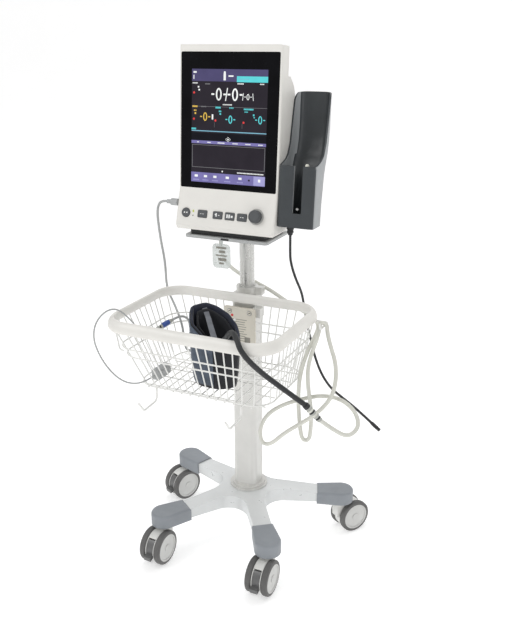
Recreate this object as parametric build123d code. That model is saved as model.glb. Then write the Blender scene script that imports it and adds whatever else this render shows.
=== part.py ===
from build123d import *
import math
import os

# A vital-signs monitor on a rolling stand, in millimetres, +Z up. The column stands on the Z axis and the
# screen faces -Y. At the end every piece is moved sideways so that the origin is on the floor, under the
# middle of the object.

# ---- stand: casting and leg caps
LEG_AZIMUTHS = {"rear_left": 159, "front_left": 234, "front_right": 306, "rear_right": 21}
CASTER_TRAILS = {"rear_left": 246, "front_left": 267, "front_right": 270, "rear_right": 55}
LEG_WIDTH = 40
LEG_BOTTOM = 84
LEG_TIP_RADIUS = 227
LEG_TIP_TOP = 105
HUB_TOP = 118
HUB_RADIUS = 47
CAP_INNER_RADIUS = 157
CAP_INNER_WIDTH = 46
CAP_NOSE_RADIUS = 28
CAP_BOTTOM = 80
CAP_TOP = 109
CASTER_RADIUS = 212

# ---- casters
WHEEL_RADIUS = 37.5
CORE_RADIUS = 30
TRAIL = 27
WHEEL_INNER = 11.2
WHEEL_OUTER = 25
HOOD_RADIUS = 34.5
HOOD_HALF_WIDTH = 10.5
CHEEK_INSIDE = 8.8
AXLE_RADIUS = 4
SLEEVE_RADIUS = 6.5
STEM_RADIUS = 5.5
NECK_TOP = CAP_BOTTOM - 0.3
STEM_TOP = 99
RUNNING_GAP = 0.05

# ---- column and post
COLUMN_WIDTH = 54
COLUMN_CORNER = 14
COLUMN_WALL = 3
COLUMN_TOP = 574
POST_RADIUS = 15.5
POST_BOTTOM = 330
COLLAR_TOP = 594
KNOB_HEIGHT = 552

# ---- basket
BASKET_X = 8
BASKET_FRONT = -294
BASKET_REAR = -41
BASKET_HALF_WIDTH = 174
RIM_HEIGHT = 578
RIM_CORNER = 52
RIM_TALL = 24
RIM_THICK = 13
RIM_TILT = 22
WIRE_TOP = 573
WIRE_FLOOR = 440
WIRE_CORNER = 42
WALL_HALF_TOP = 172
WALL_HALF_FLOOR = 142
WALL_FRONT_TOP = -292
WALL_FRONT_FLOOR = -236
WALL_REAR = -37
RING_HEIGHTS = (WIRE_FLOOR, 508, 527)
RING_WIRE = 1.6
UPRIGHT_WIRE = 1.3
WIRE_PITCH = 19
PLATE_HALF_WIDTH = 36
PLATE_BOTTOM = 455
PLATE_TOP = 556
PLATE_FRONT = -39
PLATE_BACK = -35

# ---- tray and monitor
TRAY_WIDTH = 180
TRAY_FRONT = -100
TRAY_BACK = 10
TRAY_BOTTOM = 712
TRAY_TOP = 718
CASE_BOTTOM = 730
GLASS_FOOT = (0, -86, 809)
SCREEN_LEAN = 4.6
GLASS_WIDTH = 205
GLASS_HEIGHT = 256
GLASS_THICKNESS = 3
CASE_HALF_WIDTH = 106.5
CASE_TOP_BORDER = 12
FRONT_DEPTH = 30
CHIN_FRONT = (-107, 738)
WALL = 3
KEY_DROP = 49
KEY_TRAVEL = 1.2
KEY_SIZE = (20, 14)
KEY_CENTRES = (-47.7, -14.2, 12, 38.1)
POWER_KEY_X = -84.5
POWER_KEY_RADIUS = 9
MENU_KNOB_X = 68
MENU_KNOB_RADIUS = 12.5

# ---- thermometer cradle
CRADLE_LEFT = 106.5
CRADLE_WIDTH = 74.5
CRADLE_WALL = 3.5
RELIEF = (122, -60, 726)


def block(x, y, z):
    """A box between two x, two y and two z values."""
    centre = ((x[0] + x[1]) / 2, (y[0] + y[1]) / 2, (z[0] + z[1]) / 2)
    return Pos(*centre) * Box(x[1] - x[0], y[1] - y[0], z[1] - z[0])


def bar(start, end, radius):
    """A round bar between two points."""
    axis = Vector(*end) - Vector(*start)
    return extrude(Plane(origin=start, z_dir=axis) * Circle(radius), axis.length)


def disc(x, y, z_low, z_high, radius):
    return bar((x, y, z_low), (x, y, z_high), radius)


def slab(width, depth, corner, z_low, z_high, x=0, y=0):
    """An upright prism with rounded corners."""
    return extrude(Pos(x, y, z_low) * RectangleRounded(width, depth, corner), z_high - z_low)


def side_prism(outline, x_low, x_high):
    """A prism along X from an outline of (y, z) points."""
    face = make_face(Polyline(*[(x_low, y, z) for y, z in outline], close=True))
    return extrude(face, x_high - x_low, dir=(1, 0, 0))


def wire(points, radius, bend):
    """A bent round wire or rod."""
    path = FilletPolyline(*points, radius=bend)
    section = Plane(origin=path @ 0, z_dir=path % 0) * Circle(radius)
    return sweep(section, path=path)


def group(solids):
    return Compound(children=list(solids))


# ------------------------------------------------------------------ base casting, caps, column

def base_casting():
    legs = Sketch()
    for azimuth in LEG_AZIMUTHS.values():
        legs += Rot(0, 0, azimuth) * (Pos(LEG_TIP_RADIUS / 2, 0) * Rectangle(LEG_TIP_RADIUS, LEG_WIDTH))
    crotches = [v for v in legs.vertices() if 25 < math.hypot(v.X, v.Y) < 60]
    plan = fillet(crotches, 45)
    plan += Circle(HUB_RADIUS)
    rear_corners = [v for v in plan.vertices() if math.hypot(v.X, v.Y) < HUB_RADIUS + 1 and v.Y > 10]
    plan = fillet(rear_corners, 35)
    outline = [(0, LEG_BOTTOM), (0, HUB_TOP), (HUB_RADIUS, HUB_TOP), (CAP_INNER_RADIUS, LEG_TIP_TOP + 1),
               (LEG_TIP_RADIUS + 5, LEG_TIP_TOP), (LEG_TIP_RADIUS + 5, LEG_BOTTOM)]
    envelope = revolve(Plane.XZ * make_face(Polyline(*outline, close=True)), Axis.Z)
    body = extrude(Pos(0, 0, LEG_BOTTOM) * plan, HUB_TOP - LEG_BOTTOM) & envelope
    body -= disc(0, 0, LEG_BOTTOM, 92, 10.5)
    body -= disc(0, 0, 92, HUB_TOP, 6.5)
    for azimuth in LEG_AZIMUTHS.values():
        x, y = CASTER_RADIUS * math.cos(math.radians(azimuth)), CASTER_RADIUS * math.sin(math.radians(azimuth))
        body -= disc(x, y, LEG_BOTTOM, STEM_TOP + 1, STEM_RADIUS + RUNNING_GAP)
    return body


def leg_cap(azimuth, casting):
    inner = Pos(CAP_INNER_RADIUS + 2, 0) * Rectangle(4, CAP_INNER_WIDTH)
    nose = Pos(CASTER_RADIUS, 0) * Circle(CAP_NOSE_RADIUS)
    plan = make_hull(inner.edges() + nose.edges())
    cap = extrude(Pos(0, 0, CAP_BOTTOM) * plan, CAP_TOP - CAP_BOTTOM)
    cap = fillet(cap.faces().sort_by(Axis.Z)[-1].edges(), 5)
    cap -= disc(CASTER_RADIUS, 0, CAP_BOTTOM, LEG_BOTTOM, 8)
    leg = block((0, LEG_TIP_RADIUS), (-LEG_WIDTH / 2, LEG_WIDTH / 2), (LEG_BOTTOM, LEG_TIP_TOP + 2))
    return Rot(0, 0, azimuth) * (cap - leg)


def column():
    tube = slab(COLUMN_WIDTH, COLUMN_WIDTH, COLUMN_CORNER, HUB_TOP, COLUMN_TOP)
    inside = COLUMN_WIDTH - 2 * COLUMN_WALL
    tube += disc(0, 0, HUB_TOP, HUB_TOP + 4, 42) + disc(0, 0, HUB_TOP + 4, HUB_TOP + 9, 37)
    tube -= slab(inside, inside, COLUMN_CORNER - COLUMN_WALL, HUB_TOP + 12, COLUMN_TOP)
    tube -= disc(0, 0, HUB_TOP, HUB_TOP + 10, 6)
    tube -= bar((0, 20, KNOB_HEIGHT), (0, 30, KNOB_HEIGHT), 5)
    return tube


def column_bolt():
    return disc(0, 0, LEG_BOTTOM, 92, 9.5) + disc(0, 0, 92, HUB_TOP + 10, 6)


def column_collar():
    inside = COLUMN_WIDTH - 2 * COLUMN_WALL
    collar = slab(inside, inside, COLUMN_CORNER - COLUMN_WALL, 534, COLUMN_TOP)
    collar += slab(COLUMN_WIDTH + 3, COLUMN_WIDTH + 3, COLUMN_CORNER + 1.5, COLUMN_TOP, COLUMN_TOP + 4)
    collar += disc(0, 0, COLUMN_TOP + 4, COLLAR_TOP, 23)
    collar += block((14, 37), (-8, 8), (COLUMN_TOP + 4, COLLAR_TOP))
    collar -= disc(0, 0, 530, COLLAR_TOP + 1, POST_RADIUS + RUNNING_GAP)
    collar -= bar((0, 10, KNOB_HEIGHT), (0, 26, KNOB_HEIGHT), AXLE_RADIUS + RUNNING_GAP)
    return collar


def clamp_knob():
    head = bar((0, 31, KNOB_HEIGHT), (0, 48, KNOB_HEIGHT), 11)
    for step in range(6):
        turn = math.radians(60 * step)
        x, z = 10.5 * math.cos(turn), KNOB_HEIGHT + 10.5 * math.sin(turn)
        head += bar((x, 31, z), (x, 48, z), 3.6)
    return head + bar((0, POST_RADIUS + 0.4, KNOB_HEIGHT), (0, 31, KNOB_HEIGHT), AXLE_RADIUS)


# ------------------------------------------------------------------ casters (built with the trail along +X)

def wheel_bar(y_low, y_high, radius):
    return bar((TRAIL, y_low, WHEEL_RADIUS), (TRAIL, y_high, WHEEL_RADIUS), radius)


def wheel_sector(angle_low, angle_high, inner, outer, half_width):
    """A slice of a ring about the axle, between two angles above the horizontal."""
    fan = [(TRAIL, WHEEL_RADIUS)]
    for share in range(5):
        angle = math.radians(angle_low + (angle_high - angle_low) * share / 4)
        fan.append((TRAIL + 80 * math.cos(angle), WHEEL_RADIUS + 80 * math.sin(angle)))
    wedge = extrude(Plane.XZ * make_face(Polyline(*fan, close=True)), half_width, both=True)
    return (wheel_bar(-half_width, half_width, outer) - wheel_bar(-half_width, half_width, inner)) & wedge


def caster_housing():
    hood = wheel_bar(-HOOD_HALF_WIDTH, HOOD_HALF_WIDTH, HOOD_RADIUS)
    hood += block((-15, 18), (-HOOD_HALF_WIDTH, HOOD_HALF_WIDTH), (42, 76))
    hood -= block((-40, 90), (-30, 30), (0, 12))
    hood -= wheel_sector(-75, 55, SLEEVE_RADIUS, 60, CHEEK_INSIDE)
    hood += disc(0, 0, 76, NECK_TOP, 20)
    hood += disc(0, 0, NECK_TOP, STEM_TOP, STEM_RADIUS)
    return hood - wheel_bar(-20, 20, AXLE_RADIUS + RUNNING_GAP)


def brake_pedal():
    pedal = wheel_sector(-16, 50, SLEEVE_RADIUS + RUNNING_GAP, 34, 8.4)
    return pedal + wheel_sector(-18, -5, 30, 45, 8.4)


def wheel_cores():
    cores = wheel_bar(-14, 14, AXLE_RADIUS)
    for side in (-1, 1):
        near, far = side * (WHEEL_INNER + 0.8), side * WHEEL_OUTER
        cores += wheel_bar(near, far, CORE_RADIUS)
        cores -= wheel_bar(far - side * 1.2, far, CORE_RADIUS - 3.5) - wheel_bar(-30, 30, 8)
    return cores


def tyres():
    rings = []
    for side in (-1, 1):
        tyre = wheel_bar(side * WHEEL_INNER, side * (WHEEL_OUTER - 0.4), WHEEL_RADIUS)
        tyre = fillet(tyre.edges().filter_by(GeomType.CIRCLE), 3.5)
        rings.append(tyre - wheel_bar(-30, 30, CORE_RADIUS))
    return group(rings)


def caster_place(name):
    azimuth = math.radians(LEG_AZIMUTHS[name])
    stem = (CASTER_RADIUS * math.cos(azimuth), CASTER_RADIUS * math.sin(azimuth), 0)
    return Pos(*stem) * Rot(0, 0, CASTER_TRAILS[name])


# ------------------------------------------------------------------ basket

def basket_rim():
    depth = BASKET_REAR - BASKET_FRONT
    centre = (BASKET_X, (BASKET_REAR + BASKET_FRONT) / 2, RIM_HEIGHT)
    path = (Pos(*centre) * RectangleRounded(2 * BASKET_HALF_WIDTH, depth, RIM_CORNER)).wire()
    section_plane = Plane(origin=path @ 0, z_dir=path % 0, x_dir=(0, 0, 1))
    outward = section_plane.to_local_coords(Vector(*centre)).Y
    tilt = RIM_TILT if outward > 0 else -RIM_TILT
    section = section_plane * Rot(0, 0, tilt) * Ellipse(RIM_TALL / 2, RIM_THICK / 2)
    return sweep(section, path=path)


def taper(z):
    return (z - WIRE_FLOOR) / (WIRE_TOP - WIRE_FLOOR)


def wall_half(z):
    return WALL_HALF_FLOOR + (WALL_HALF_TOP - WALL_HALF_FLOOR) * taper(z)


def wall_front(z):
    return WALL_FRONT_FLOOR + (WALL_FRONT_TOP - WALL_FRONT_FLOOR) * taper(z)


def shares(length):
    """Evenly spaced positions, from 0 to 1, for the uprights of a wall of this length."""
    count = round(length / WIRE_PITCH)
    return [(index + 0.5) / count for index in range(count)]


def along(start, end, share):
    return tuple(a + (b - a) * share for a, b in zip(start, end))


def wall_ends(side, z):
    """The two ends of one wall's straight stretch at height z."""
    left, right = BASKET_X - wall_half(z), BASKET_X + wall_half(z)
    front, rear = wall_front(z), WALL_REAR
    ends = {"front": ((left + WIRE_CORNER, front, z), (right - WIRE_CORNER, front, z)),
            "rear": ((left + WIRE_CORNER, rear, z), (right - WIRE_CORNER, rear, z)),
            "left": ((left, front + WIRE_CORNER, z), (left, rear - WIRE_CORNER, z)),
            "right": ((right, front + WIRE_CORNER, z), (right, rear - WIRE_CORNER, z))}
    return ends[side]


def basket_wall(side):
    floor_ends, top_ends = wall_ends(side, WIRE_FLOOR), wall_ends(side, WIRE_TOP)
    grid = bar(*floor_ends, RING_WIRE)
    for z in RING_HEIGHTS[1:]:
        grid += bar(*wall_ends(side, z), RING_WIRE)
    for share in shares(math.dist(*top_ends)):
        low, high = along(*floor_ends, share), along(*top_ends, share)
        grid += bar(low, high, UPRIGHT_WIRE)
    if side == "rear":
        grid -= block((-PLATE_HALF_WIDTH, PLATE_HALF_WIDTH), (WALL_REAR - 5, WALL_REAR + 5), (443, 600))
    return grid


def corner_centre(side_x, side_y, z):
    x = BASKET_X + side_x * (wall_half(z) - WIRE_CORNER)
    y = WALL_REAR - WIRE_CORNER if side_y > 0 else wall_front(z) + WIRE_CORNER
    return x, y


def basket_corner(side_x, side_y):
    start = {(1, 1): 0, (-1, 1): 90, (-1, -1): 180, (1, -1): 270}[(side_x, side_y)]
    wires = None
    for z in RING_HEIGHTS:
        x, y = corner_centre(side_x, side_y, z)
        arc = CenterArc((x, y, z), WIRE_CORNER, start, 90)
        ring = sweep(Plane(origin=arc @ 0, z_dir=arc % 0) * Circle(RING_WIRE), path=arc)
        wires = ring if wires is None else wires + ring
    for turn in (start + 22.5, start + 67.5):
        reach = Vector(WIRE_CORNER, 0, 0).rotate(Axis.Z, turn)
        ends = []
        for z in (WIRE_FLOOR, WIRE_TOP):
            x, y = corner_centre(side_x, side_y, z)
            ends.append((x + reach.X, y + reach.Y, z))
        wires += bar(*ends, UPRIGHT_WIRE)
    return wires


def basket_hooks():
    """Two cord hooks under the front, one at the left front and one at the right rear."""
    hooks = []
    for x in (BASKET_X - 92, BASKET_X + 92):
        hook = ((x, -238, 437), (x, -240, 414), (x, -286, 412), (x, -303, 434))
        hooks.append(wire(hook, 2, 9))
    left = BASKET_X - BASKET_HALF_WIDTH
    side_hook = ((left - 1, -232, 566), (left - 12, -232, 548), (left - 4, -232, 505), (left + 5, -232, 503))
    hooks.append(wire(side_hook, 1.6, 6))
    right = BASKET_X + wall_half(562)
    hose_hook = ((right, -62, 561), (right + 27, -62, 561), (right + 27, -106, 561), (right + 27, -110, 574))
    hooks.append(wire(hose_hook, 2, 5))
    return hooks


def basket_floor():
    half, depth = WALL_HALF_FLOOR, WALL_REAR - WALL_FRONT_FLOOR
    grid = None
    under = WIRE_FLOOR - RING_WIRE - UPRIGHT_WIRE - 0.05
    for share in shares(2 * half - 40):
        x = BASKET_X - half + 20 + (2 * half - 40) * share
        rod = bar((x, WALL_FRONT_FLOOR - 1, under), (x, WALL_REAR + 1, under), UPRIGHT_WIRE)
        grid = rod if grid is None else grid + rod
    for share in (0.08, 0.3, 0.5, 0.7, 0.92):
        y = WALL_FRONT_FLOOR + depth * share
        grid += bar((BASKET_X - half + 8, y, under - 1.6), (BASKET_X + half - 8, y, under - 1.6), UPRIGHT_WIRE)
    return grid


def basket_bracket():
    arm = block((-30, 30), (PLATE_BACK, -COLUMN_WIDTH / 2), (470, 550))
    return arm + block((COLUMN_WIDTH / 2, 45), (PLATE_BACK, -13), (537, 556))


def label_plate():
    plate = block((-PLATE_HALF_WIDTH, PLATE_HALF_WIDTH), (PLATE_FRONT, PLATE_BACK), (PLATE_BOTTOM, PLATE_TOP))
    plate = fillet(plate.edges().filter_by(Axis.Y), 5)
    rivets = []
    for x in (-23, 23):
        plate -= bar((x, PLATE_FRONT, 546), (x, PLATE_BACK, 546), 2)
        rivets.append(bar((x, PLATE_FRONT - 1.4, 546), (x, PLATE_FRONT, 546), 4) +
                      bar((x, PLATE_FRONT, 546), (x, PLATE_BACK, 546), 2))
    return group([plate] + rivets)


# ------------------------------------------------------------------ post, tray and latch

def inner_post():
    """The height-setting tube, with the stop ring that rests on the collar and the tray's flange."""
    post = disc(0, 0, POST_BOTTOM, 706, POST_RADIUS) - disc(0, 0, POST_BOTTOM, 700, POST_RADIUS - 2.5)
    post += disc(0, 0, COLLAR_TOP + 0.3, COLLAR_TOP + 3.5, POST_RADIUS + 1.5)
    return post + disc(0, 0, 706, TRAY_BOTTOM, 27)


def tray_screw_places():
    return [(x, y) for x in (-50, 50) for y in (-75, -15)]


def tray():
    middle = (TRAY_FRONT + TRAY_BACK) / 2
    plate = slab(TRAY_WIDTH, TRAY_BACK - TRAY_FRONT, 7, TRAY_BOTTOM, TRAY_TOP, y=middle)
    plate = chamfer(plate.faces().sort_by(Axis.Z)[-1].edges(), 1)
    plate -= block((-8.3, 8.3), (TRAY_FRONT, TRAY_FRONT + 26), (TRAY_BOTTOM + 1.2, TRAY_TOP - 1.2))
    for x, y in tray_screw_places():
        plate -= disc(x, y, TRAY_BOTTOM, TRAY_TOP, 2.2)
    return plate


def tray_latch():
    tongue = block((-8, 8), (TRAY_FRONT + 1, TRAY_FRONT + 16), (TRAY_BOTTOM + 1.5, TRAY_TOP - 1.5))
    return tongue + block((-8, 8), (TRAY_FRONT - 1.5, TRAY_FRONT + 1), (TRAY_BOTTOM + 1.5, TRAY_TOP - 1.5))


def adapter_plate():
    plate = slab(164, 92, 6, TRAY_TOP, CASE_BOTTOM, y=-46)
    for x, y in tray_screw_places():
        plate -= disc(x, y, TRAY_TOP, CASE_BOTTOM, 2.2)
    return plate


# ------------------------------------------------------------------ monitor

SCREEN_SIN = math.sin(math.radians(SCREEN_LEAN))
SCREEN_COS = math.cos(math.radians(SCREEN_LEAN))
CHIN_RISE = GLASS_FOOT[2] - CHIN_FRONT[1]
CHIN_RUN = GLASS_FOOT[1] - CHIN_FRONT[0]
CHIN_LENGTH = math.hypot(CHIN_RISE, CHIN_RUN)


def screen_point(up, out):
    """(y, z) of a point measured up the screen from the foot of the glass, and out of it."""
    return (GLASS_FOOT[1] + up * SCREEN_SIN - out * SCREEN_COS, GLASS_FOOT[2] + up * SCREEN_COS + out * SCREEN_SIN)


def screen_plane(out=0.0):
    y, z = screen_point(0, out)
    return Plane(origin=(0, y, z), x_dir=(1, 0, 0), z_dir=(0, -SCREEN_COS, SCREEN_SIN))


def chin_plane(out=0.0):
    """The sloping panel under the glass, with its origin on the keys' centre line."""
    normal = (0, -CHIN_RISE / CHIN_LENGTH, CHIN_RUN / CHIN_LENGTH)
    y = GLASS_FOOT[1] - KEY_DROP * CHIN_RUN / CHIN_LENGTH + out * normal[1]
    z = GLASS_FOOT[2] - KEY_DROP * CHIN_RISE / CHIN_LENGTH + out * normal[2]
    return Plane(origin=(0, y, z), x_dir=(1, 0, 0), z_dir=normal)


def parting_point(z):
    """y of the joint between the two housings at height z."""
    foot_y, foot_z = screen_point(0, -FRONT_DEPTH)
    return foot_y + (z - foot_z) * SCREEN_SIN / SCREEN_COS


def front_outline(inset):
    """The front housing from the side; its wall is twice as thick behind the glass."""
    top = screen_point(GLASS_HEIGHT + CASE_TOP_BORDER - inset, -2 * inset)
    back = screen_point(GLASS_HEIGHT + CASE_TOP_BORDER - inset, -FRONT_DEPTH)
    foot = screen_point(-inset, -2 * inset)
    low = CASE_BOTTOM + inset
    return [top, foot, (CHIN_FRONT[0] + inset, CHIN_FRONT[1] + inset / 2),
            (CHIN_FRONT[0] + 3 + inset, low), (parting_point(low), low), back]


def rear_outline(inset):
    low, step = CASE_BOTTOM + inset, 1019 - inset
    return [(parting_point(low), low), (10 - inset, low), (10 - inset, 900), (4 - inset, 975),
            (-8 - inset, 1005 - inset), (-22, step), (parting_point(step), step)]


def case_bosses(outline):
    """Screw pillars in the four corners of a housing."""
    solid = side_prism(outline, -CASE_HALF_WIDTH + 1, CASE_HALF_WIDTH - 1)
    pillars = [bar((x, -150, z), (x, 50, z), 5) for x, z in case_screw_places()]
    return [pillar & solid for pillar in pillars]


def case_screw_places():
    return [(x, z) for x in (-94, 94) for z in (776, 975)]


def front_housing():
    shell = side_prism(front_outline(0), -CASE_HALF_WIDTH, CASE_HALF_WIDTH)
    upright = [e for e in shell.edges() if abs(e.center().X) > CASE_HALF_WIDTH - 0.1 and
               e.center().Y < parting_point(e.center().Z) - 6]
    shell = fillet(upright, 4)
    shell -= side_prism(front_outline(WALL), -CASE_HALF_WIDTH + WALL, CASE_HALF_WIDTH - WALL)
    for boss in case_bosses(front_outline(WALL)):
        shell += boss
    shell -= glass_blank(0.2, 0)
    opening = screen_plane(-20) * Pos(0, GLASS_HEIGHT / 2) * Rectangle(176, 226)
    shell -= extrude(opening, 18)
    for x in KEY_CENTRES:
        shell -= key_blank(x, KEY_SIZE[0] + 0.7, KEY_SIZE[1] + 0.7, -8, 5)
    shell -= extrude(chin_plane(-8) * Pos(POWER_KEY_X, 0) * Circle(POWER_KEY_RADIUS + 0.35), 16)
    shell -= extrude(chin_plane(-8) * Pos(MENU_KNOB_X, 4) * Circle(4.4), 16)
    for x, y in tray_screw_places():
        if y < parting_point(CASE_BOTTOM):
            shell += disc(x, y, CASE_BOTTOM + 1, 744, 5) - side_prism(rear_outline(0), -110, 110)
            shell -= disc(x, y, CASE_BOTTOM, 742, 2)
    for x, z in case_screw_places():
        shell -= bar((x, parting_point(z) - 12, z), (x, 20, z), 1.6)
    return shell


def rear_housing():
    half = CASE_HALF_WIDTH
    shell = side_prism(rear_outline(0), -half, half)
    upright = [e for e in shell.edges() if abs(e.center().X) > half - 0.1 and e.center().Y > -30]
    shell = fillet(upright, 6)
    shell -= side_prism(rear_outline(WALL), -half + WALL, half - WALL)
    for boss in case_bosses(rear_outline(WALL)):
        shell += boss
    for x, y in tray_screw_places():
        if y > parting_point(CASE_BOTTOM):
            shell += disc(x, y, CASE_BOTTOM + 1, 744, 5)
            shell -= disc(x, y, CASE_BOTTOM, 742, 2)
    for x, z in case_screw_places():
        shell -= bar((x, -60, z), (x, 20, z), 1.6)
        shell -= bar((x, rear_face(z) - 2.5, z), (x, 20, z), 3.4)
    shell += bar((HOSE_PORT[0], 9, HOSE_PORT[2]), (HOSE_PORT[0], HOSE_PORT[1], HOSE_PORT[2]), 7)
    for index in range(9):
        x = -32 + 8 * index
        shell -= block((x, x + 3.5), (6, 12), (860, 895))
    return shell


def rear_face(z):
    return 10 - 6 * max(0, z - 900) / 75


def glass_blank(grow, lift):
    size = screen_plane(-GLASS_THICKNESS) * Pos(0, GLASS_HEIGHT / 2 + lift)
    return extrude(size * RectangleRounded(GLASS_WIDTH + grow, GLASS_HEIGHT - 2 + grow, 3), GLASS_THICKNESS + 0.5)


def touch_glass():
    face = screen_plane(-GLASS_THICKNESS) * Pos(0, GLASS_HEIGHT / 2) * RectangleRounded(GLASS_WIDTH, GLASS_HEIGHT - 2, 3)
    return extrude(face, GLASS_THICKNESS)


def display_panel():
    face = screen_plane(-GLASS_THICKNESS - 7) * Pos(0, GLASS_HEIGHT / 2) * RectangleRounded(174, 224, 2)
    return extrude(face, 7)


def circuit_boards():
    main = extrude(screen_plane(-22) * Pos(0, GLASS_HEIGHT / 2 + 6) * Rectangle(150, 170), 1.6)
    power = block((-70, 0), (-4, -2.4), (775, 850))
    heatsink = block((-60, -20), (-2.4, 5), (790, 830))
    return group([main, power + heatsink])


def battery():
    return fillet(block((8, 80), (-44, -22), (746, 800)).edges().filter_by(Axis.X), 2)


def air_pump():
    pump = bar((28, -22, 870), (28, -22, 925), 14)
    return pump + bar((28, -22, 925), (28, -22, 937), 3)


def assembly_screws():
    screws = []
    for x, y in tray_screw_places():
        screws.append(disc(x, y, TRAY_BOTTOM - 3, TRAY_BOTTOM, 4) + disc(x, y, TRAY_BOTTOM, 741, 2))
    for x, z in case_screw_places():
        head = rear_face(z) - 2.5
        screws.append(bar((x, head, z), (x, head + 2, z), 3.2) + bar((x, parting_point(z) - 11, z), (x, head, z), 1.6))
    return group(screws)


def key_blank(x, width, height, low, high):
    return extrude(chin_plane(low) * Pos(x, 0) * RectangleRounded(width, height, 1.8), high - low)


def soft_key(x):
    cap = key_blank(x, *KEY_SIZE, -2.5, 1.6)
    return cap + key_blank(x, KEY_SIZE[0] - 6, KEY_SIZE[1] - 6, -9, -2.5)


def power_key():
    cap = extrude(chin_plane(-2.5) * Pos(POWER_KEY_X, 0) * Circle(POWER_KEY_RADIUS), 4.1)
    return cap + extrude(chin_plane(-9) * Pos(POWER_KEY_X, 0) * Circle(4), 6.5)


def menu_knob():
    base = extrude(chin_plane(1.7) * Pos(MENU_KNOB_X, 4) * Circle(MENU_KNOB_RADIUS), 11)
    knob = fillet(base.faces().sort_by(Axis.Y)[0].edges(), 1.8)
    return knob - extrude(chin_plane(1.7) * Pos(MENU_KNOB_X, 4) * Circle(3 + RUNNING_GAP), 7)


def encoder_shaft():
    return extrude(chin_plane(-14) * Pos(MENU_KNOB_X, 4) * Circle(3), 22)


# ------------------------------------------------------------------ thermometer cradle and hang-tag

CRADLE_SIDE = [(-93, 750), (-82, 859), (-34, 880), (-22, 930), (-10, 984), (-4, 991), (12, 991), (8, 930),
               (-4, 880), (-24, 840), (-42, 757)]
CRADLE_POCKET = [(-86, 772), (-79, 870), (-52, 895), (-28, 940), (-16, 1000), (7, 1000), (3, 930), (-9, 880),
                 (-29, 840), (-44, 772)]


def thermometer_cradle():
    right = CRADLE_LEFT + CRADLE_WIDTH
    shell = side_prism(CRADLE_SIDE, CRADLE_LEFT, right)
    shell = fillet([e for e in shell.edges().filter_by(Axis.X) if e.center().Z > 982], 3)
    shell -= side_prism(CRADLE_POCKET, CRADLE_LEFT + CRADLE_WALL, right - CRADLE_WALL)
    shell -= block((138, 155), (-110, -70), (784, 900))
    shell -= bar((146.5, -110, 784), (146.5, -70, 784), 8.5)
    peg = disc(166, -66, 772, 862, 3.5)
    shell += peg
    relief = disc(RELIEF[0], RELIEF[1], RELIEF[2], 765, 7.2) - side_prism(CRADLE_SIDE, CRADLE_LEFT, right)
    return group([shell, relief])


def hang_tag():
    tag = block((-38, 2), (-80.8, -79.6), (650, 700))
    tag = fillet(tag.edges().filter_by(Axis.Y), 9)
    return tag + block((-22, -14), (-80.8, -79.6), (695, TRAY_BOTTOM))


# ------------------------------------------------------------------ cuff, cords and what is on them

HOSE_PORT = (-70, 18, 770)
CUFF_CENTRE = (16, -178)
CUFF_SIZE = (108, 74)

AIR_HOSE = [HOSE_PORT, (-70, 46, 770), (-77, 60, 740), (-88, 64, 700), (-96, 62, 662), (-84, 54, 627),
            (-50, 44, 606), (2, 34, 592), (51, 18, 581), (100, -7, 568), (150, -22, 557), (180, -44, 548),
            (184, -72, 536), (179, -94, 518), (173, -106, 492), (168, -114, 462), (167, -119, 430), (169, -122, 395),
            (173, -124, 360), (178, -124, 328), (192, -121, 328), (195, -120, 352), (196, -120, 388),
            (190, -117, 420), (184, -113, 450), (182, -108, 480), (187, -102, 508), (194, -95, 534), (197, -90, 552),
            (197, -88, 569), (212, -89, 569), (215, -93, 550), (225, -99, 525), (238, -107, 500), (245, -120, 468),
            (240, -131, 434), (214, -141, 400), (180, -143, 372), (145, -138, 342), (112, -131, 305),
            (90, -126, 302), (84, -122, 330), (96, -115, 362), (125, -108, 386), (165, -104, 406), (210, -104, 424),
            (255, -116, 430), (290, -133, 418), (305, -154, 398), (292, -178, 386), (272, -198, 404),
            (251, -222, 433)]
CUFF_HOSE = [(42, -203, 540), (54, -218, 554), (72, -240, 570), (92, -264, 592), (109, -284, 602),
             (125, -302, 598), (138, -313, 580), (161, -297, 546), (195, -266, 504), (228, -238, 466)]
PROBE_CORD = [RELIEF, (122, -60, 702), (119, -51, 672), (124, -36, 634), (129, -14, 600), (128, 3, 566),
              (133, 5, 534), (147, -7, 502), (166, -30, 472), (190, -54, 446), (218, -74, 428),
              (250, -94, 422), (283, -110, 413), (318, -124, 397)]
PROBE_TIP = (338, -132, 388)
TRUNK_CABLE = [(-131, -92, 779), (-145, -92, 779), (-154, -92, 768), (-157, -91, 748), (-157, -87, 720),
               (-158, -80, 690), (-159, -69, 655), (-166, -54, 620), (-176, -38, 590), (-179, -26, 562),
               (-168, -22, 536), (-126, -62, 510), (-118, -69, 474), (-109, -77, 457), (-92, -85, 460),
               (-86, -87, 478), (-88, -84, 508), (-95, -87, 533), (-107.1, -98.7, 542.7), (-116, -118, 537)]
CONNECTOR_ENDS = ((-116, -118, 537), (-133, -155, 526))
SENSOR_CABLE = [(-133, -155, 526), (-139.4, -169, 521.8), (-146, -190, 530), (-148, -222, 568), (-152, -256, 601),
                (-159, -284, 604), (-170, -303, 586), (-175, -308, 556), (-168, -304, 522), (-154, -294, 488),
                (-136, -280, 462), (-118, -262, 451), (-103, -240, 453), (-101, -216, 455)]
CONNECTOR_RADIUS = 5.5


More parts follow.
